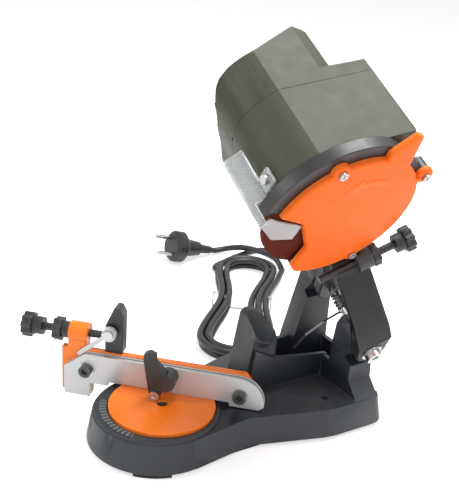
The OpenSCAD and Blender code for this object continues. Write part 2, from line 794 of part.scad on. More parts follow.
// Section of the rear cap, cut narrower on its right
module rear_outline() difference() {
    circle(barrel_r);
    beyond(-flat_side, 0, 180);
    beyond(-flat_side, flat_top, 150);
    beyond(57, 39.5, 72.6);
    beyond(39.5, 37.5, 43.7);
    beyond(39.5, 37.5, 9.8);
}

module motor_housing() color(dark_grey) head_frame() difference() {
    plate_y(guard_back + seat_gap, cap_front) front_outline();
    difference() {
        plate_y(guard_back + 5, cap_front + 1) front_outline(shell_t);
        // Bearing seat and ribs that hold the stator
        rod_y(bearing_r + 3, guard_back, guard_back + 3 + bearing_t);
        for (i = [0 : 3]) rotate([0, 30 + i * 90, 0])
            block([stator_r + seat_gap, guard_back + 5, -1.5], [90, cap_front, 1.5]);
    }
    rod_y(bearing_r + seat_gap, guard_back + 3, guard_back + 30);
    rod_y(9, guard_back - 1, guard_back + 10);
    translate([-flat_side, guard_back + 9, flat_top]) rotate([0, 210, 0]) translate([0, 0, -11])
        rod_x(1.6 + seat_gap, -6, 2);
    translate([box_side, switch_y, 12]) switch_cut();
}

module rear_cap() color(dark_grey) head_frame() difference() {
    union() {
        plate_y(cap_front + seat_gap, box_step) front_outline();
        intersection() {
            plate_y(cap_front + seat_gap, cap_back + 1) rear_outline();
            rear_form();
        }
    }
    difference() {
        union() {
            rod_y(cavity_r, cap_front - 1, cap_end - 8);
            // Narrower towards the rear, so that the rounded left end keeps its wall
            translate([0, cap_end - 8.01, 0]) rotate([-90, 0, 0])
                cylinder(r1 = cavity_r, r2 = cavity_r - 5, h = 8.01 - shell_t);
        }
        rod_y(bearing_r + 3, cap_end - 14, cap_end);
    }
    rod_y(bearing_r + seat_gap, cap_end - 16, cap_end - 14 + bearing_t);
    relief_stem(5 + seat_gap);
    // Air slots in the rear end
    for (i = [-3 : 3]) for (s = [-1, 1])
        translate([i * 7 - 8, 0, s * 24 - 4]) block([-1.5, cap_end - 6, -7], [1.5, cap_back + 1, 7]);
}

// Rear end seen from above: round on the left, and stepped back behind the box on the right
module rear_form()
    translate([0, 0, -70]) linear_extrude(140)
        polygon([[-80, cap_front], [-80, cap_end - 40], [-flat_side, cap_end - 14],
            [-flat_side + 1.5, cap_end - 8], [-flat_side + 5, cap_end - 4], [-flat_side + 11, cap_end - 1],
            [-flat_side + 18, cap_end], [-6, cap_end], [28, cap_back - 1], [31, cap_back], [38, cap_back],
            [41, cap_back - 2], [60, cap_back - 2], [60, cap_front]]);

// Clear shield: a strip along the flat of the barrel, its bracket and a flap before the notch
module shield_frame()
    head_frame() translate([-flat_side, guard_back, flat_top]) rotate([0, 210, 0]) children();

module clear_shield() color([0.85, 0.9, 0.92, 0.5]) difference() {
    union() {
        head_frame() {
            plate_y(guard_back + 2, 57)
                polygon([[-41.7, 36.8], [-56, 33], [-56, 33 - shield_t], [-42.7, 36.8 - shield_t]]);
            plate_y(0.2, guard_back + 3)
                polygon([[-51.2, 34.3], [-56, 33], [-56, 33 - shield_t], [-51.2, 34.3 - shield_t]]);
            plate_y(0.2, 0.2 + shield_t)
                polygon([[-48, 35.1], [-56, 33], [-50.6, 12], [-36, 0.5], [-28.5, 10.5], [-43, 28]]);
        }
        shield_frame() block([0.1, 3, -16], [2.6, 15, -1.5]);
    }
    shield_frame() translate([0, 9, -11]) rod_x(1.6 + seat_gap, -10, 10);
}

module shield_screw() color(steel) shield_frame() translate([0, 9, -11]) {
    rod_x(3.2, 2.6 + seat_gap, 5.2);
    rod_x(1.6, -5, 3);
}

// --- Switch and cord ---
switch_y = 40;
switch_w = 18;
switch_h = 27;
module switch_place()
    head_frame() translate([box_side, switch_y, 12]) children();

module switch_cut()
    block([-shell_t - 1, -switch_w / 2, -switch_h / 2], [2, switch_w / 2, switch_h / 2]);

module switch_frame() color(black) switch_place() difference() {
    union() {
        block([seat_gap, -switch_w / 2 - 1.5, -switch_h / 2 - 1.5],
            [1.5, switch_w / 2 + 1.5, switch_h / 2 + 1.5]);
        block([-11, seat_gap - switch_w / 2, seat_gap - switch_h / 2],
            [1, switch_w / 2 - seat_gap, switch_h / 2 - seat_gap]);
    }
    block([-9, -7, -11], [3, 7, 11]);
}

// Rocker on its pin, tipped to off
module switch_rocker() color([0.7, 0.05, 0.04]) switch_place() translate([-2, 0, 0]) rotate([0, 6, 0])
    difference() {
        block([-4, 0.4 - 7, -9.4], [4.5, 7 - 0.4, 9.4]);
        translate([21, 0, 0]) rod_y(18, -10, 10);
    }

relief_at = [20, cap_back - 24];
relief_out = barrel_r + 26;
module relief_stem(r)
    translate([relief_at.x, relief_at.y, 10 - barrel_r]) rotate([180, 0, 0]) cylinder(r = r, h = 9);

module cord_relief() color(black) head_frame() {
    relief_stem(5);
    difference() {
        translate([relief_at.x, relief_at.y, -relief_out]) cylinder(r1 = cord_r + 1, r2 = 6, h = 24);
        translate([relief_at.x, relief_at.y, -barrel_r - 1]) cylinder(r = 7, h = 5);
        translate([0, relief_at.y, 0]) rod_y(barrel_r + seat_gap, -20, 20);
    }
    difference() {
        translate([relief_at.x, relief_at.y, -barrel_r - 1]) cylinder(r = 7, h = 5);
        translate([0, relief_at.y, 0]) rod_y(barrel_r + seat_gap, -20, 20);
    }
}

// Hank: racetrack loops drawn in at the waist, spiralling in on the floor, then out on top
hank_at = [172, 160, 0];
hank_turn = 53;
hank_step = 2 * cord_r + 0.8;
hank_end_r = hank_w / 2 - cord_r;
hank_run = hank_len / 2 - cord_r - hank_end_r;
hank_draw = 10;
hank_loops = 4;
tie_t = 1;
hank_first = 50;
hank_last = 360 * hank_loops - hank_first;
// Where the spiral turns back and climbs, in the middle of a run
hank_back = 180 * hank_loops - 90;

// One point of a racetrack set in by depth, at z above the floor; turn runs once round in 360
function track(turn, depth, z) = let (q = (turn + 45) % 360 - 45)
    q < 45 ? [hank_run + (hank_end_r - depth) * cos(2 * q), (hank_end_r - depth) * sin(2 * q), z]
    : q < 135 ? let (u = (90 - q) / 45, w = (1 + cos(180 * u)) / 2)
        [hank_run * u, hank_end_r - depth - hank_draw * w, z + (tie_t + 0.4) * w]
    : q < 225 ? [-hank_run - (hank_end_r - depth) * cos(2 * (q - 180)),
        -(hank_end_r - depth) * sin(2 * (q - 180)), z]
    : let (u = (q - 270) / 45, w = (1 + cos(180 * u)) / 2)
        [hank_run * u, depth - hank_end_r + hank_draw * w, z + (tie_t + 0.4) * w];

function hank_depth(turn) = hank_step * (hank_last - hank_back - abs(turn - hank_back)) / 360;
function hank_z(turn) = cord_r + 0.1 + hank_step * max(0, min(1, (turn - hank_back + 60) / 120));
function on_floor(p) = hank_at + [p.x * cos(hank_turn) - p.y * sin(hank_turn),
    p.x * sin(hank_turn) + p.y * cos(hank_turn), p.z];
hank_turns = [for (turn = [hank_first : 15 : hank_last]) turn];
hank_middle = [for (turn = hank_turns) on_floor(track(turn, hank_depth(turn), hank_z(turn)))];
hank_n = len(hank_middle);
// Its two ends run straight for one cord diameter
function level(v) = unit([v.x, v.y, 0]);
hank_in = level(hank_middle[0] - hank_middle[1]);
hank_out = unit(hank_middle[hank_n - 1] - hank_middle[hank_n - 2]);
hank_points = concat([hank_middle[0] + 2 * cord_r * hank_in], hank_middle,
    [hank_middle[hank_n - 1] + 2 * cord_r * hank_out]);

// Least gap between stretches of the hank that don't follow each other
function seg_gap(p, i, j) = min([for (u = [0 : 0.25 : 1]) for (v = [0 : 0.25 : 1])
    norm(p[i] + u * (p[i + 1] - p[i]) - p[j] - v * (p[j + 1] - p[j]))]);
hank_gap = min([for (i = [0 : hank_n - 12]) for (j = [i + 9 : hank_n]) seg_gap(hank_points, i, j)])
    - 2 * cord_r;
echo(least_gap_of_the_hank = hank_gap);

module cord_hank() color(black) base_frame() tube(hank_points, cord_r, 6, [0, 0, 1]);

// Band round the waist of the hank
module tie_outline(grow) {
    half = hank_end_r - hank_draw + cord_r + 0.4 + grow;
    low = 2 + tie_t + 0.1 - grow;
    high = 2 * cord_r + hank_step + tie_t + 0.9 + grow;
    translate([-half, low]) square([2 * half, high - low - 2]);
    translate([-half + 2, 0.1 + tie_t - grow]) square([2 * half - 4, high - tie_t]);
    for (s = [-1, 1]) {
        translate([s * (half - 2), 2.1 + tie_t - grow]) circle(2);
        translate([s * (half - 2), high - 2]) circle(2);
    }
}

module cord_tie() color([0.75, 0.75, 0.72]) base_frame() translate(hank_at) rotate(hank_turn)
    plate_x(-1.2, 1.2) difference() {
        tie_outline(tie_t);
        tie_outline(0);
    }

// Route of the cord from the relief down to the hank, on the turntable axis
run_points = [[180, 78, 140], [210, 112, 100], [238, 160, 60], [258, 210, 28], [272, 252, 9],
    [270, 274, 4], [250, 274, 3.5]];
// The raised arm's own directions, and the mouth of the relief
arm_x = [cos(rest_lean), -sin(head_tilt) * sin(rest_lean), cos(head_tilt) * sin(rest_lean)];
arm_y = [0, cos(head_tilt), sin(head_tilt)];
arm_z = [-sin(rest_lean), -sin(head_tilt) * cos(rest_lean), cos(head_tilt) * cos(rest_lean)];
run_start = [pivot_x, pivot_y, pivot_z] + relief_at.x * arm_x + (cover_a + relief_at.y) * arm_y
    + (arm_reach - relief_out - 0.05) * arm_z;
run_end = hank_points[0] + 0.05 * hank_in;
module cord_run() color(black) base_frame()
    tube(concat([run_start], spline(concat([run_start - 7 * arm_z, run_start - 22 * arm_z], run_points,
        [run_end + 20 * hank_in, run_end + 7 * hank_in]), 4), [run_end]), cord_r, 8, [1, 0, 0]);

// Lead from the top of the hank to the plug
lead_points = [[261, 232, 11.5], [257, 254, 11.5], [248, 272, 10.9], [238, 284, 8.2], [229, 290.5, 5.4]];
lead_start = hank_points[hank_n + 1] + 0.05 * hank_out;
plug_at = [212, 292, 6.5];
plug_turn = 182;
plug_rise = 15;
plug_axis = [cos(plug_turn) * cos(plug_rise), sin(plug_turn) * cos(plug_rise), sin(plug_rise)];
module cord_lead() color(black) base_frame()
    tube(concat([lead_start], spline(concat([lead_start + 7 * hank_out], lead_points,
        [plug_at - 7 * plug_axis]), 3), [plug_at - 0.05 * plug_axis]), cord_r, 8, [0, 0, 1]);

module plug_frame()
    base_frame() translate(plug_at) rotate([0, 0, plug_turn]) rotate([0, 90 - plug_rise, 0]) children();

// Two-pin plug with a round face: relief, waist and disc
module plug_body() color(black) plug_frame() {
    cylinder(r1 = cord_r + 1, r2 = 5.6, h = 17);
    translate([0, 0, 16]) cylinder(r1 = 7.5, r2 = 10.5, h = 20);
    translate([0, 0, 34]) cylinder(r1 = 11, r2 = 17, h = 6);
    translate([0, 0, 40]) cylinder(r = 17, h = 9);
    translate([0, 0, 49]) cylinder(r1 = 17, r2 = 13, h = 4);
}

module plug_pins() color(steel) plug_frame() rotate(40) for (s = [-1, 1])
    translate([s * 9.5, 0, 53]) cylinder(r = 2.2, h = 18);

base();
foot(1);  // foot_1
foot(2);  // foot_2
foot(3);  // foot_3
foot(4);  // foot_4
foot(5);  // foot_5
foot(6);  // foot_6
scale_plate();
turntable();
turntable_bolt();
turntable_knob();
near_rail();
far_rail();
rail_screw(1);  // rail_screw_1
rail_screw(2);  // rail_screw_2
rail_washer(1);  // rail_washer_1
rail_washer(2);  // rail_washer_2
clamp_lever();
clamp_screw();
stop_screw();
stop_lock_nut();
stop_carrier();
stop_pawl();
pawl_pin();
swing_arm();
pivot_bolt();
pivot_washer();
pivot_nut();
return_spring();
spring_arm_leg();
depth_screw();
depth_lock_nut();
wheel_guard();
guard_cover();
cover_screw(1);  // cover_screw_1
cover_screw(2);  // cover_screw_2
cover_screw(3);  // cover_screw_3
grinding_wheel();
inner_flange();
outer_flange();
wheel_nut();
spindle();
rotor();
stator();
front_bearing();
rear_bearing();
motor_housing();
rear_cap();
clear_shield();
shield_screw();
switch_frame();
switch_rocker();
cord_relief();
cord_run();
cord_hank();
cord_tie();
cord_lead();
plug_body();
plug_pins();
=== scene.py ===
import json
import math

import bmesh
import bpy
from mathutils import Matrix, Vector


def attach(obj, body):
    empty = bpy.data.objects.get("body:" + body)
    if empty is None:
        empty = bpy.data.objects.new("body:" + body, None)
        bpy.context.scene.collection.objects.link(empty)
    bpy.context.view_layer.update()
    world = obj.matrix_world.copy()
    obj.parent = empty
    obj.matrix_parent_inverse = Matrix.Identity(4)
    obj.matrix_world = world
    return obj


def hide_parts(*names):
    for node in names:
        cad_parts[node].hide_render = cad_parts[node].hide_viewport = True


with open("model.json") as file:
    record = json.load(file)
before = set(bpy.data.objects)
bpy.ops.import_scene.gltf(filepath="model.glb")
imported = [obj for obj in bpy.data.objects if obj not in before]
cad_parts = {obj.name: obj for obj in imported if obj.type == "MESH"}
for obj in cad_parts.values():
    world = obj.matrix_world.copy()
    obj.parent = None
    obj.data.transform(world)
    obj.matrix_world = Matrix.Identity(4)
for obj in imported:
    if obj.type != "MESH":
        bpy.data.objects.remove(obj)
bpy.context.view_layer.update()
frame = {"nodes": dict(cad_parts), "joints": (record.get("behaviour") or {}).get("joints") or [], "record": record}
nodes = frame["nodes"]
joints = {j["name"]: j for j in frame["joints"]}
bodyOf = {n: b for b, members in frame["record"]["behaviour"]["bodies"].items() for n in members}
slotOf = {s["node"]: s["material_slot"] for s in frame["record"]["subparts"]}
print("frame loaded,", len(nodes), "nodes")


# The part's own directions, read from its joints
def jointVector(name, key):
    return Vector(joints[name][key])


def placeMatrix(origin, x, y, z):
    m = Matrix((x, y, z)).transposed().to_4x4()
    m.translation = origin
    return m


tableAt = jointVector("vise_turn", "pos_m")
armX = jointVector("depth_set", "axis")
armY = jointVector("wheel_spin", "axis")
armZ = armX.cross(armY)
coverFront = 0.0465  # along the spindle, from the point of its joint to the front of the guard cover
headPlace = placeMatrix(jointVector("wheel_spin", "pos_m") + armY * coverFront, armX, armY, armZ)

# Camera, at the photograph's angle
camera = {"place": (-0.2702, -0.4947, 0.3864), "down": 22.3, "turn": -32.9, "roll": 4.1, "lens": 63.45,
          "sensor": 36, "near": 0.02}
camObject = bpy.data.objects.new("camera", bpy.data.cameras.new("camera"))
bpy.context.scene.collection.objects.link(camObject)
camObject.data.lens = camera["lens"]
camObject.data.sensor_width = camera["sensor"]
camTurn = (Matrix.Rotation(math.radians(camera["turn"]), 4, "Z")
           @ Matrix.Rotation(math.radians(90 - camera["down"]), 4, "X")
           @ Matrix.Rotation(math.radians(camera["roll"]), 4, "Z"))
camObject.matrix_world = Matrix.Translation(tableAt + Vector(camera["place"])) @ camTurn
camObject.data.clip_start = camera["near"]
bpy.context.scene.camera = camObject
bpy.context.scene.view_settings.view_transform = "Standard"


# Helpers for pieces
touching = 1e-6  # points and planes this near to each other are taken as one


def newObject(name, mesh):
    piece = bpy.data.objects.new(name, mesh)
    bpy.context.scene.collection.objects.link(piece)
    return piece


def finishPiece(piece, body, material, replaced=()):
    piece.data.materials.clear()
    piece.data.materials.append(material)
    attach(piece, body)
    if replaced:
        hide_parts(*replaced)
    return piece


def shadeByAngle(bm, angle):  # smooth faces, with the edges past the angle kept sharp
    limit = math.radians(angle)
    for face in bm.faces:
        face.smooth = True
    for edge in bm.edges:
        edge.smooth = len(edge.link_faces) == 2 and edge.calc_face_angle(math.pi) < limit


def curveBetween(a, b, c, d, u):  # a smooth curve's point between b and c, at the share u
    return 0.5 * (2 * b + (c - a) * u + (2 * a - 5 * b + 4 * c - d) * u * u
                  + (3 * b - a - 3 * c + d) * u ** 3)


def meshFrom(bm, name, place=None, angle=32):
    if place is not None:
        bmesh.ops.transform(bm, matrix=place, verts=bm.verts)
    bmesh.ops.recalc_face_normals(bm, faces=bm.faces)
    shadeByAngle(bm, angle)
    mesh = bpy.data.meshes.new(name)
    bm.to_mesh(mesh)
    bm.free()
    return mesh


# The cord: down from the head, through the hank and out to the plug
cord = {"radius": 0.0032, "hankAt": Vector((0.172, 0.160, 0)), "hankTurn": 53, "hankLength": 0.232,
        "hankWidth": 0.076, "draw": 0.010, "loops": 4, "first": 50, "tie": 0.001, "tieGap": 0.0004,
        "step": 0.0072, "climb": 60, "floorGap": 0.0001, "turnStep": 5, "straight": 0.007,
        "fallFrom": 0.022, "levelFrom": 0.020, "plugGap": 0.0001, "steps": 5}
runPoints = [(0.180, 0.078, 0.140), (0.210, 0.112, 0.100), (0.238, 0.160, 0.060), (0.258, 0.210, 0.028),
             (0.272, 0.252, 0.009), (0.270, 0.274, 0.004), (0.250, 0.274, 0.0035)]
leadPoints = [(0.261, 0.232, 0.0115), (0.257, 0.254, 0.0115), (0.248, 0.272, 0.0109),
              (0.238, 0.284, 0.0082), (0.229, 0.2905, 0.0054)]
plug = {"at": Vector((0.212, 0.292, 0.0065)), "turn": 182, "rise": 15}


atEnd = 45  # a round end of the hank takes the turns so near to 0 and 180 degrees, and a side the others


def hankPoint(turn):
    endR = cord["hankWidth"] / 2 - cord["radius"]
    run = cord["hankLength"] / 2 - cord["radius"] - endR
    last = 360 * cord["loops"] - cord["first"]
    back = 180 * cord["loops"] - 90
    depth = cord["step"] * (last - back - abs(turn - back)) / 360
    climbed = max(0, min(1, (turn - back + cord["climb"]) / (2 * cord["climb"])))
    z = cord["radius"] + cord["floorGap"] + cord["step"] * climbed
    q = (turn + atEnd) % 360 - atEnd
    lift = cord["tie"] + cord["tieGap"]
    if q < atEnd or 180 - atEnd <= q < 180 + atEnd:
        side = 1 if q < atEnd else -1
        a = math.radians(2 * q if q < atEnd else 2 * (q - 180))
        x, y = side * (run + (endR - depth) * math.cos(a)), side * (endR - depth) * math.sin(a)
    else:
        side = 1 if q < 180 - atEnd else -1
        u = (90 - q) / atEnd if side > 0 else (q - 270) / atEnd
        w = (1 + math.cos(math.pi * u)) / 2
        x, y, z = run * u, side * (endR - depth - cord["draw"] * w), z + lift * w
    return cord["hankAt"] + Matrix.Rotation(math.radians(cord["hankTurn"]), 3, "Z") @ Vector((x, y, z))


def smoothRoute(points, steps):
    out = []
    for i in range(len(points) - 1):
        a, b, c, d = points[max(i - 1, 0)], points[i], points[i + 1], points[min(i + 2, len(points) - 1)]
        out += [curveBetween(a, b, c, d, k / steps) for k in range(steps)]
    return out + [points[-1]]


reliefAt = {"x": 0.020, "back": 0.102, "out": 0.0855}  # in the head's frame
nearEnd = 15  # the turn, in degrees, that gives the hank's direction at its two ends
hankEnds = [hankPoint(cord["first"]), hankPoint(cord["first"] + nearEnd)]
hankLast = 360 * cord["loops"] - cord["first"]
hankTail = [hankPoint(hankLast), hankPoint(hankLast - nearEnd)]
hankIn = hankEnds[0] - hankEnds[1]
hankIn = Vector((hankIn.x, hankIn.y, 0)).normalized()
hankOut = (hankTail[0] - hankTail[1]).normalized()
runStart = headPlace @ Vector((reliefAt["x"], reliefAt["back"], -reliefAt["out"])) - tableAt
runEnd = hankEnds[0] + 2 * cord["radius"] * hankIn
leadStart = hankTail[0] + 2 * cord["radius"] * hankOut
plugTurn, plugRise = math.radians(plug["turn"]), math.radians(plug["rise"])
plugAxis = Vector((math.cos(plugTurn) * math.cos(plugRise), math.sin(plugTurn) * math.cos(plugRise),
                   math.sin(plugRise)))
fall = [runStart - cord["straight"] * armZ, runStart - cord["fallFrom"] * armZ]
level = [runEnd + cord["levelFrom"] * hankIn, runEnd + cord["straight"] * hankIn]
route = [runStart] + smoothRoute(fall + [Vector(p) for p in runPoints] + level, cord["steps"]) + [runEnd]
route += [hankPoint(turn) for turn in range(cord["first"], hankLast + 1, cord["turnStep"])]
lead = [leadStart + cord["straight"] * hankOut] + [Vector(p) for p in leadPoints]
lead.append(plug["at"] - cord["straight"] * plugAxis)
route += [leadStart] + smoothRoute(lead, cord["steps"]) + [plug["at"] - cord["plugGap"] * plugAxis]


# Materials
def link(tree, a, b):
    tree.links.new(a, b)


def addNode(tree, kind, **values):
    node = tree.nodes.new(kind)
    for key, value in values.items():
        if key in node.inputs:
            node.inputs[key].default_value = value
        else:
            setattr(node, key, value)
    return node


def noiseNode(tree, coord, scale, detail=2.0, rough=0.5, stretch=None):
    texture = addNode(tree, "ShaderNodeTexNoise", Scale=scale, Detail=detail, Roughness=rough)
    if stretch:
        mapping = addNode(tree, "ShaderNodeMapping", Scale=stretch[0], Rotation=stretch[1])
        link(tree, coord.outputs["Object"], mapping.inputs["Vector"])
        link(tree, mapping.outputs["Vector"], texture.inputs["Vector"])
    else:
        link(tree, coord.outputs["Object"], texture.inputs["Vector"])
    return texture.outputs["Fac"]


def ramp(tree, source, low, high, a, b):
    node = addNode(tree, "ShaderNodeMapRange")
    node.inputs["From Min"].default_value, node.inputs["From Max"].default_value = low, high
    node.inputs["To Min"].default_value, node.inputs["To Max"].default_value = a, b
    link(tree, source, node.inputs["Value"])
    return node.outputs["Result"]


def mixColour(tree, factor, a, b):
    node = addNode(tree, "ShaderNodeMix", data_type="RGBA")
    for socket, value in ((node.inputs[6], a), (node.inputs[7], b)):
        if isinstance(value, tuple):
            socket.default_value = (*value, 1)
        else:
            link(tree, value, socket)
    link(tree, factor, node.inputs[0])
    return node.outputs[2]


noiseBand = (0.3, 0.7)  # where most of a noise texture's values lie
speckBand = (0.56, 0.66)
edgeHighlightBand = (0.52, 0.60)
tickBand = (0.06, 0.10)
tickEvery = 5  # degrees
waveDepth = 0.0008
coatRough = 0.15


def tickMarks(tree, coord):  # 1 on a mark, 0 between marks
    fromTable = addNode(tree, "ShaderNodeVectorMath", operation="SUBTRACT")
    fromTable.inputs[1].default_value = tableAt
    link(tree, coord.outputs["Object"], fromTable.inputs[0])
    split = addNode(tree, "ShaderNodeSeparateXYZ")
    link(tree, fromTable.outputs[0], split.inputs[0])
    turn = addNode(tree, "ShaderNodeMath", operation="ARCTAN2")
    link(tree, split.outputs["Y"], turn.inputs[0])
    link(tree, split.outputs["X"], turn.inputs[1])
    steps = addNode(tree, "ShaderNodeMath", operation="MULTIPLY")
    steps.inputs[1].default_value = math.degrees(1) / tickEvery
    link(tree, turn.outputs[0], steps.inputs[0])
    saw = addNode(tree, "ShaderNodeMath", operation="PINGPONG")
    saw.inputs[1].default_value = 0.5
    link(tree, steps.outputs[0], saw.inputs[0])
    return ramp(tree, saw.outputs[0], *tickBand, 1, 0)


def material(name, look):
    mat = bpy.data.materials.new(name)
    mat.use_nodes = True
    tree = mat.node_tree
    shader = tree.nodes["Principled BSDF"]
    coord = addNode(tree, "ShaderNodeTexCoord")
    blotch = noiseNode(tree, coord, look.get("blotch", 30), 4, 0.6)
    colour = mixColour(tree, ramp(tree, blotch, *noiseBand, 0, 1), look["colour"], look["second"])
    if "speck" in look:  # grains of another colour
        speck = noiseNode(tree, coord, look["speckScale"], 1)
        share = ramp(tree, speck, *speckBand, 0, look.get("speckShare", 0.7))
        colour = mixColour(tree, share, colour, look["speck"])
    if "ticks" in look:  # marks round the turntable
        colour = mixColour(tree, tickMarks(tree, coord), colour, look["ticks"])
    if "edge" in look:  # painted highlight: a lighter colour on sharp convex edges, where light catches them
        geometry = addNode(tree, "ShaderNodeNewGeometry")
        edgeHighlightMask = ramp(tree, geometry.outputs["Pointiness"], *edgeHighlightBand, 0, look.get("edgeHighlightShare", 0.5))
        colour = mixColour(tree, edgeHighlightMask, colour, look["edge"])
    link(tree, colour, shader.inputs["Base Color"])
    uneven = noiseNode(tree, coord, look.get("roughScale", 90), 5, 0.65)
    link(tree, ramp(tree, uneven, *noiseBand, *look["rough"]), shader.inputs["Roughness"])
    shader.inputs["Metallic"].default_value = look.get("metal", 0)
    shader.inputs["IOR"].default_value = look.get("ior", 1.5)
    shader.inputs["Coat Weight"].default_value = look.get("coat", 0)
    shader.inputs["Coat Roughness"].default_value = coatRough
    shader.inputs["Specular IOR Level"].default_value = look.get("shine", 0.5)
    shader.inputs["Transmission Weight"].default_value = look.get("clear", 0)
    if look.get("bump", 0):
        grain = noiseNode(tree, coord, look.get("grain", 1500), 2, 0.5, look.get("brushed"))
        bump = addNode(tree, "ShaderNodeBump", Strength=look["bump"], Distance=look.get("bumpDepth", 0.0001))
        link(tree, grain, bump.inputs["Height"])
        if look.get("wave", 0):  # slight waviness under the grain
            wave = addNode(tree, "ShaderNodeBump", Strength=look["wave"], Distance=waveDepth)
            link(tree, noiseNode(tree, coord, look.get("waveScale", 45), 2), wave.inputs["Height"])
            link(tree, wave.outputs["Normal"], bump.inputs["Normal"])
        link(tree, bump.outputs["Normal"], shader.inputs["Normal"])
    return mat


# Each edge colour below is a painted highlight on sharp convex edges, not wear
looks = {
    "base_plastic": {"colour": (0.012, 0.015, 0.019), "second": (0.017, 0.021, 0.026),
                     "rough": (0.36, 0.50), "shine": 0.4, "edge": (0.12, 0.13, 0.14), "edgeHighlightShare": 0.4,
                     "bump": 0.35, "wave": 0.12},
    "arm_plastic": {"colour": (0.010, 0.012, 0.0125), "second": (0.014, 0.016, 0.017),
                    "rough": (0.40, 0.54), "shine": 0.3, "edge": (0.12, 0.13, 0.14), "edgeHighlightShare": 0.4,
                    "bump": 0.35, "wave": 0.12},
    "housing_plastic": {"colour": (0.050, 0.054, 0.037), "second": (0.064, 0.069, 0.048),
                        "rough": (0.40, 0.50), "shine": 0.13, "edge": (0.16, 0.165, 0.14),
                        "edgeHighlightShare": 0.3, "bump": 0.3, "wave": 0.15},
    "black_plastic": {"colour": (0.008, 0.008, 0.009), "second": (0.013, 0.013, 0.014),
                      "rough": (0.34, 0.50), "edge": (0.07, 0.07, 0.07), "edgeHighlightShare": 0.35, "bump": 0.25},
    "foot_rubber": {"colour": (0.010, 0.010, 0.010), "second": (0.016, 0.016, 0.016), "rough": (0.7, 0.9),
                    "bump": 0.5},
    "cord_rubber": {"colour": (0.007, 0.007, 0.008), "second": (0.011, 0.011, 0.012),
                    "rough": (0.34, 0.48), "bump": 0.2},
    "orange_paint": {"colour": (1.0, 0.225, 0.016), "second": (0.98, 0.195, 0.012), "rough": (0.22, 0.36),
                     "shine": 0.4, "bump": 0.12, "grain": 900, "wave": 0.08},
    # orange_plastic's edge colour is a painted highlight: the golden tone the rim takes under light from above
    "orange_plastic": {"colour": (1.0, 0.165, 0.014), "second": (0.97, 0.150, 0.011),
                       "rough": (0.34, 0.46), "shine": 0.12, "bump": 0.2, "wave": 0.12,
                       "edge": (1.0, 0.36, 0.10), "edgeHighlightShare": 0.35},
    "rail_steel": {"colour": (0.56, 0.56, 0.56), "second": (0.50, 0.50, 0.51), "rough": (0.30, 0.42),
                   "metal": 0.35, "bump": 0.05, "grain": 260, "brushed": ((1, 1, 14), (0, 0, 0)),
                   "bumpDepth": 0.00005},
    "bolt_steel": {"colour": (0.48, 0.48, 0.48), "second": (0.40, 0.40, 0.40), "rough": (0.22, 0.38),
                   "metal": 1, "bump": 0.2},
    "plate_steel": {"colour": (0.22, 0.23, 0.24), "second": (0.17, 0.18, 0.19), "rough": (0.3, 0.45),
                    "metal": 1, "bump": 0.15},
    "scale": {"colour": (0.030, 0.032, 0.034), "second": (0.042, 0.044, 0.046), "rough": (0.35, 0.5),
              "bump": 0.15, "ticks": (0.30, 0.31, 0.31)},
    "black_steel": {"colour": (0.012, 0.012, 0.013), "second": (0.02, 0.02, 0.021), "rough": (0.28, 0.42),
                    "bump": 0.2, "edge": (0.12, 0.12, 0.12)},
    "spring_steel": {"colour": (0.20, 0.20, 0.20), "second": (0.12, 0.12, 0.12), "rough": (0.25, 0.4),
                     "metal": 1, "bump": 0.2},
    "lamination_steel": {"colour": (0.35, 0.35, 0.36), "second": (0.25, 0.25, 0.26), "rough": (0.35, 0.5),
                         "metal": 1, "bump": 0.3, "grain": 800, "brushed": ((1, 1, 1), (0, 0, 0))},
    "abrasive": {"colour": (0.105, 0.016, 0.009), "second": (0.085, 0.012, 0.007), "rough": (0.85, 1.0),
                 "shine": 0.15, "blotch": 60, "speck": (0.26, 0.07, 0.04), "speckScale": 1800,
                 "bump": 1.0, "grain": 1300, "bumpDepth": 0.0004},
    "red_plastic": {"colour": (0.50, 0.012, 0.010), "second": (0.44, 0.01, 0.009), "rough": (0.18, 0.3),
                    "bump": 0.1, "coat": 0.3},
    "tie_plastic": {"colour": (0.55, 0.55, 0.52), "second": (0.48, 0.48, 0.45), "rough": (0.4, 0.6),
                    "bump": 0.3},
    "clear_plastic": {"colour": (0.93, 0.95, 0.96), "second": (0.90, 0.93, 0.94), "rough": (0.06, 0.20),
                      "roughScale": 220, "clear": 0.82, "ior": 1.46, "bump": 0.06, "grain": 120,
                      "wave": 0.05},
}
finish = {name: material(name, look) for name, look in looks.items()}
print("materials:", len(finish))

# Stage and light
stage = {"floor": (0.90, 0.90, 0.90), "rough": 0.8, "half": 6, "world": 0.36, "glow": 0.55}
lamps = {"key": {"place": (0.45, 0.10, 1.45), "target": (0, 0, 0.15), "size": 0.7, "power": 23.0},
         "side": {"place": (-1.0, 0.5, 0.75), "target": (0, 0, 0.2), "size": 0.35, "power": 3.5},
         "fill": {"place": (0.9, -1.1, 0.9), "target": (0, 0, 0.12), "size": 1.2, "power": 5.0},
         "front": {"place": (-0.8, -1.0, 0.7), "target": (0, 0, 0.15), "size": 1.0, "power": 5.0}}


def seenRays(tree):  # 1 for what the camera, a reflection or a clear piece shows
    rays = addNode(tree, "ShaderNodeLightPath")
    total = rays.outputs["Is Camera Ray"]
    for kind in ("Is Glossy Ray", "Is Transmission Ray"):
        add = addNode(tree, "ShaderNodeMath", operation="ADD", use_clamp=True)
        link(tree, total, add.inputs[0])
        link(tree, rays.outputs[kind], add.inputs[1])
        total = add.outputs[0]
    return total


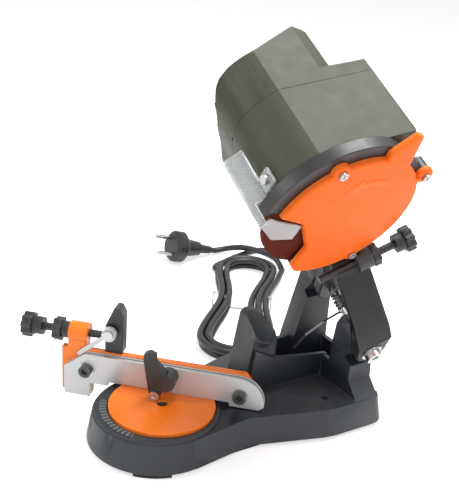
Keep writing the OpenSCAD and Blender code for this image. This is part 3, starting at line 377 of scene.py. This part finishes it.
floorMesh = bmesh.new()
bmesh.ops.create_grid(floorMesh, x_segments=1, y_segments=1, size=stage["half"])
floorObject = newObject("floor", meshFrom(floorMesh, "floor"))
floorMat = bpy.data.materials.new("floor")
floorMat.use_nodes = True
floorTree = floorMat.node_tree
floorTree.nodes["Principled BSDF"].inputs["Base Color"].default_value = (*stage["floor"], 1)
floorTree.nodes["Principled BSDF"].inputs["Roughness"].default_value = stage["rough"]
floorGlow = addNode(floorTree, "ShaderNodeEmission", Color=(1, 1, 1, 1))
floorSum = addNode(floorTree, "ShaderNodeAddShader")
link(floorTree, ramp(floorTree, seenRays(floorTree), 0, 1, 0, stage["glow"]), floorGlow.inputs["Strength"])
link(floorTree, floorTree.nodes["Principled BSDF"].outputs[0], floorSum.inputs[0])
link(floorTree, floorGlow.outputs[0], floorSum.inputs[1])
link(floorTree, floorSum.outputs[0], floorTree.nodes["Material Output"].inputs["Surface"])
floorObject.data.materials.append(floorMat)

world = bpy.data.worlds.new("studio")
bpy.context.scene.world = world
world.use_nodes = True
worldTree = world.node_tree
plain = worldTree.nodes["Background"]
plain.inputs["Color"].default_value = (1, 1, 1, 1)
plain.inputs["Strength"].default_value = stage["world"]
shown = addNode(worldTree, "ShaderNodeBackground", Color=(1, 1, 1, 1), Strength=1.0)
blendNode = addNode(worldTree, "ShaderNodeMixShader")
link(worldTree, seenRays(worldTree), blendNode.inputs[0])
link(worldTree, plain.outputs[0], blendNode.inputs[1])
link(worldTree, shown.outputs[0], blendNode.inputs[2])
link(worldTree, blendNode.outputs[0], worldTree.nodes["World Output"].inputs["Surface"])


def softLight(name, place, target, size, power):
    lamp = bpy.data.lights.new(name, "AREA")
    lamp.size, lamp.energy = size, power
    lampObject = bpy.data.objects.new(name, lamp)
    bpy.context.scene.collection.objects.link(lampObject)
    lampObject.location = place
    lampObject.rotation_mode = "QUATERNION"
    lampObject.rotation_quaternion = (Vector(target) - Vector(place)).to_track_quat("-Z", "Y")


for lampName, lampSet in lamps.items():
    softLight(lampName, **lampSet)
print("stage ready")


# Copies of the CAD's own pieces, with their edges rounded over
rounding = {"merge": 2e-6, "flat": 0.6, "least": 1.6, "leastFace": 2.2, "narrow": 14, "angle": 30,
            "grow": 0.0005, "segments": 2}
barrelNodes = ("motor_housing", "rear_cap")
barrelEdges = {"left": 0.002, "inner": 0.0415, "seamNear": 2e-4, "seamFrom": 0.043, "seam": 0.3,
               "angle": 19}


def grown(piece):  # how far the modifiers push the piece out of its own box
    bpy.context.view_layer.update()
    after = [Vector(c) for c in piece.evaluated_get(bpy.context.evaluated_depsgraph_get()).bound_box]
    before = [v.co for v in piece.data.vertices]
    return max(max(min(v[i] for v in before) - min(v[i] for v in after),
                   max(v[i] for v in after) - max(v[i] for v in before)) for i in range(3))


def nodeMesh(node):  # a CAD node's mesh with its doubled corners merged
    bm = bmesh.new()
    bm.from_mesh(nodes[node].data)
    bmesh.ops.remove_doubles(bm, verts=bm.verts, dist=rounding["merge"])
    return bm


seamAt = max((headPlace.inverted() @ v.co).y for v in nodes["motor_housing"].data.vertices)


def narrow(edge, vert, other):
    a, b = (e.other_vert(vert).co - vert.co for e in (edge, other))
    return a.length > 0 and b.length > 0 and a.angle(b) < math.radians(rounding["narrow"])


def besideNarrow(edge, weight):
    return any(narrow(edge, vert, other) for vert in edge.verts for other in vert.link_edges
               if not other[weight])


def barrelWeight(edge):  # None for the box's outside, which is rounded like any other piece
    ends = [headPlace.inverted() @ v.co for v in edge.verts]
    reach = [math.hypot(v.x, v.z) for v in ends]
    if min(v.x for v in ends) >= barrelEdges["left"] and max(reach) >= barrelEdges["inner"]:
        return None
    onSeam = max(abs(v.y - seamAt) for v in ends) < barrelEdges["seamNear"]
    return barrelEdges["seam"] if onSeam and min(reach) > barrelEdges["seamFrom"] else 0


def weighEdges(bm, node, width, angle):  # how much of the width each edge is rounded by
    weight = bm.edges.layers.float.new("bevel_weight_edge")
    leastFace = (rounding["leastFace"] * width) ** 2
    for edge in bm.edges:
        if len(edge.link_faces) != 2 or edge.calc_length() < rounding["least"] * width:
            continue
        share = barrelWeight(edge) if node in barrelNodes else None
        if share is not None:
            edge[weight] = share
        elif math.radians(angle) < edge.calc_face_angle(0):
            if min(f.calc_area() for f in edge.link_faces) > leastFace:
                edge[weight] = 1
    for edge in bm.edges:  # an edge beside a narrow corner keeps its sharpness
        if edge[weight] and besideNarrow(edge, weight):
            edge[weight] = 0


def roundedCopy(node, width):
    bm = nodeMesh(node)
    angle = rounding["angle"]
    if node not in ("base", "rear_cap"):
        flat = math.radians(rounding["flat"])
        bmesh.ops.dissolve_limit(bm, angle_limit=flat, verts=bm.verts, edges=bm.edges)
    if node in barrelNodes:
        roundBarrel(bm)
        angle = barrelEdges["angle"]
    weighEdges(bm, node, width, angle)
    shadeByAngle(bm, angle)
    mesh = bpy.data.meshes.new(node + ".shape")
    bm.to_mesh(mesh)
    bm.free()
    piece = newObject(node + ".shape", mesh)
    bevel = piece.modifiers.new("rounding", "BEVEL")
    bevel.limit_method, bevel.width, bevel.segments = "WEIGHT", width, rounding["segments"]
    bevel.harden_normals = False
    bevel.use_clamp_overlap = False
    if grown(piece) > rounding["grow"]:
        bevel.use_clamp_overlap = True
        print(node, "is rounded with clamping,", round(grown(piece), 5))
    finishPiece(piece, bodyOf[node], finish[slotOf[node]], [node])


# How far each piece's edges are rounded, in metres
edges = {"base": 0.0005, "swing_arm": 0.0008, "motor_housing": 0.0010, "rear_cap": 0.0006,
         "wheel_guard": 0.0006, "turntable": 0.0006, "clamp_lever": 0.0007, "stop_carrier": 0.0008,
         "near_rail": 0.00025, "far_rail": 0.0002, "turntable_knob": 0.0006, "stop_screw": 0.0005,
         "stop_lock_nut": 0.0005, "depth_screw": 0.0005, "depth_lock_nut": 0.0005, "clear_shield": 0.0002,
         "switch_frame": 0.0004, "switch_rocker": 0.0005, "pivot_bolt": 0.0005, "pivot_nut": 0.0005,
         "rail_screw_1": 0.0004, "rail_screw_2": 0.0004, "clamp_screw": 0.0003, "grinding_wheel": 0.0005,
         "cover_screw_1": 0.0002, "cover_screw_2": 0.0002, "cover_screw_3": 0.0002, "plug_body": 0.0008,
         "plug_pins": 0.0004, "cord_relief": 0.0005, "cord_tie": 0.0002, "shield_screw": 0.0003,
         "stop_pawl": 0.0003, "pawl_pin": 0.0003, "wheel_nut": 0.0003}
# Radius of the barrel's round left side in mm, every few degrees round the spindle
barrelRadii = (59.5, 59.6, 59.4, 58.9, 57.6, 55.2, 52.0, 49.2, 47.0, 45.3, 44.5, 44.6, 46.0, 48.6, 52.2,
               56.0, 58.4, 59.4, 59.5, 59.5)
# The CAD's own section there, in mm and degrees
barrelFlats = {"side": 43, "radius": 59.5, "slant": 54.24, "turn": 30, "near": 0.3}
barrelTurns = {"radiiFrom": 96, "radiiEvery": 8, "bentFrom": 97, "bentTo": 240, "cutFrom": 100,
               "cutEvery": 4, "cutLeftOf": -0.004, "snap": 1.3, "merge": 5e-5}


def roundRadius(turn):
    place = (turn - barrelTurns["radiiFrom"]) / barrelTurns["radiiEvery"]
    last = len(barrelRadii) - 1
    i = min(max(int(place), 0), last - 1)
    return curveBetween(*(barrelRadii[min(max(i + j, 0), last)] for j in (-1, 0, 1, 2)), place - i)


def flatRadius(turn):  # a side flat, a slanted flat and the round
    a, lean = math.radians(turn), math.radians(barrelFlats["turn"])
    slant = math.sin(a) * math.sin(lean) - math.cos(a) * math.cos(lean)
    reach = min(barrelFlats["radius"], barrelFlats["side"] / max(-math.cos(a), 0.01))
    return min(reach, barrelFlats["slant"] / max(slant, 0.01))


def roundBarrel(bm):  # bends the flats on the barrel's left into one round side
    bmesh.ops.transform(bm, matrix=headPlace.inverted(), verts=bm.verts)
    for turn in range(barrelTurns["cutFrom"], barrelTurns["bentTo"], barrelTurns["cutEvery"]):
        a = math.radians(turn)
        left = [f for f in bm.faces if f.calc_center_median().x < barrelTurns["cutLeftOf"]]
        around = left + list({e for f in left for e in f.edges}) + list({v for f in left for v in f.verts})
        bmesh.ops.bisect_plane(bm, geom=around, dist=touching, plane_co=(0, 0, 0),
                               plane_no=(-math.sin(a), 0, math.cos(a)))
    for vert in bm.verts:
        turn = math.degrees(math.atan2(vert.co.z, vert.co.x)) % 360
        reach = math.hypot(vert.co.x, vert.co.z)
        onFlat = abs(reach * 1000 - flatRadius(turn)) < barrelFlats["near"]
        if barrelTurns["bentFrom"] < turn < barrelTurns["bentTo"] and onFlat:
            cut = barrelTurns["cutEvery"] * round(turn / barrelTurns["cutEvery"])
            turn = math.radians(cut if abs(turn - cut) < barrelTurns["snap"] else turn)
            reach = roundRadius(math.degrees(turn)) / 1000
            vert.co.x, vert.co.z = reach * math.cos(turn), reach * math.sin(turn)
    bmesh.ops.remove_doubles(bm, verts=bm.verts, dist=barrelTurns["merge"])
    bmesh.ops.transform(bm, matrix=headPlace, verts=bm.verts)


for node, width in edges.items():
    roundedCopy(node, width)


# Guard cover: its outline is cut from the CAD's own, and its rim is broad and round
cover = {"cut": 0.0017, "back": 0.0044, "rim": 0.0020, "steps": 5, "wall": 0.0026, "hollow": 0.0021,
         "merge": 5e-4, "angle": 40}


def cutOutline(node, y):  # the outlines that a plane at y in the head's frame cuts from the node
    bm = nodeMesh(node)
    bmesh.ops.transform(bm, matrix=headPlace.inverted(), verts=bm.verts)
    geometry = bm.verts[:] + bm.edges[:] + bm.faces[:]
    cut = bmesh.ops.bisect_plane(bm, geom=geometry, dist=touching, plane_co=(0, y, 0), plane_no=(0, 1, 0))
    keep = {e for e in cut["geom_cut"] if isinstance(e, bmesh.types.BMEdge)}
    bmesh.ops.delete(bm, geom=[e for e in bm.edges if e not in keep], context="EDGES")
    bmesh.ops.remove_doubles(bm, verts=bm.verts, dist=cover["merge"])
    return bm


def longestLoop(bm):
    left, loops = set(bm.edges), []
    while left:
        stack, loop = [left.pop()], []
        while stack:
            edge = stack.pop()
            loop.append(edge)
            for vert in edge.verts:
                for other in vert.link_edges:
                    if other in left:
                        left.remove(other)
                        stack.append(other)
        loops.append(loop)
    return max(loops, key=lambda loop: sum(e.calc_length() for e in loop))


coverMesh = cutOutline("guard_cover", cover["cut"])
outer = set(longestLoop(coverMesh))
bmesh.ops.delete(coverMesh, geom=[e for e in coverMesh.edges if e not in outer], context="EDGES")
bmesh.ops.translate(coverMesh, vec=(0, cover["rim"] - cover["cut"], 0), verts=coverMesh.verts)
coverFace = bmesh.ops.contextual_create(coverMesh, geom=coverMesh.edges[:])["faces"][0]
print("cover outline", len(coverMesh.verts), "points", coverFace.calc_area())
backFace = bmesh.ops.extrude_face_region(coverMesh, geom=[coverFace], use_keep_orig=True)["geom"]
backVerts = [v for v in backFace if isinstance(v, bmesh.types.BMVert)]
bmesh.ops.translate(coverMesh, vec=(0, cover["back"] - cover["rim"], 0), verts=backVerts)
for k in range(cover["steps"]):
    a0, a1 = (math.pi / 2 * (k + j) / cover["steps"] for j in (0, 1))
    thick = cover["rim"] * (math.cos(a0) - math.cos(a1))
    bmesh.ops.inset_region(coverMesh, faces=[coverFace], thickness=thick, use_even_offset=True)
    forward = cover["rim"] * (math.sin(a0) - math.sin(a1))
    bmesh.ops.translate(coverMesh, vec=(0, forward, 0), verts=coverFace.verts)
backFace = [f for f in backFace if isinstance(f, bmesh.types.BMFace)][0]
bmesh.ops.inset_region(coverMesh, faces=[backFace], thickness=cover["wall"], use_even_offset=False)
bmesh.ops.translate(coverMesh, vec=(0, cover["hollow"] - cover["back"], 0), verts=backFace.verts)
bmesh.ops.triangulate(coverMesh, faces=[coverFace, backFace])
# A bent arrow raised on the cover shows which way the wheel turns
arrow = {"tail": (0.0375, 25), "tip": (0.0254, 85), "half": 0.0027, "head": 0.0062, "headFrom": 0.6,
         "high": 0.0003, "sunk": 0.0005, "steps": 20, "slope": 0.0006}
strip = bmesh.ops.create_grid(coverMesh, x_segments=arrow["steps"], y_segments=1, size=0.5)["verts"]
for vert in strip:
    share = vert.co.x + 0.5
    left = (1 - share) / (1 - arrow["headFrom"])
    half = arrow["half"] if left > 1.001 else arrow["head"] * left
    turn = math.radians(arrow["tail"][1] + (arrow["tip"][1] - arrow["tail"][1]) * share)
    reach = arrow["tail"][0] + (arrow["tip"][0] - arrow["tail"][0]) * share + 2 * half * vert.co.y
    vert.co = Vector((reach * math.cos(turn), arrow["sunk"], reach * math.sin(turn)))
arrowFaces = list({f for v in strip for f in v.link_faces})
bmesh.ops.remove_doubles(coverMesh, verts=strip, dist=touching)
arrowFaces = [f for f in arrowFaces if f.is_valid]
raised = bmesh.ops.extrude_face_region(coverMesh, geom=arrowFaces, use_keep_orig=True)["geom"]
bmesh.ops.translate(coverMesh, vec=(0, -arrow["sunk"] - arrow["high"], 0),
                    verts=[v for v in raised if isinstance(v, bmesh.types.BMVert)])
raisedFaces = [f for f in raised if isinstance(f, bmesh.types.BMFace)]
bmesh.ops.inset_region(coverMesh, faces=raisedFaces, thickness=arrow["slope"])
arrowTop = list({v for f in raisedFaces for v in f.verts})
bmesh.ops.translate(coverMesh, vec=(0, -arrow["high"], 0), verts=arrowTop)
coverShape = meshFrom(coverMesh, "guard_cover.shape", headPlace, cover["angle"])
coverPiece = newObject("guard_cover.shape", coverShape)
finishPiece(coverPiece, "head", finish["orange_plastic"], ["guard_cover"])

for node, cadNode in nodes.items():  # what keeps its CAD shape gets its finish
    cadNode.data.materials.clear()
    cadNode.data.materials.append(finish["scale" if node == "scale_plate" else slotOf[node]])
print("pieces dressed")

# The cord itself
cordCurve = bpy.data.curves.new("mainsCord", "CURVE")
cordCurve.dimensions = "3D"
spline = cordCurve.splines.new("POLY")
spline.points.add(len(route) - 1)
for point, at in zip(spline.points, route):
    point.co = (*(at + tableAt), 1)
cordCurve.bevel_depth, cordCurve.bevel_resolution, cordCurve.use_fill_caps = cord["radius"], 5, True
spline.use_smooth = True
cordObject = newObject("mainsCord", cordCurve)
finishPiece(cordObject, "base", finish["cord_rubber"], ["cord_run", "cord_hank", "cord_lead"])
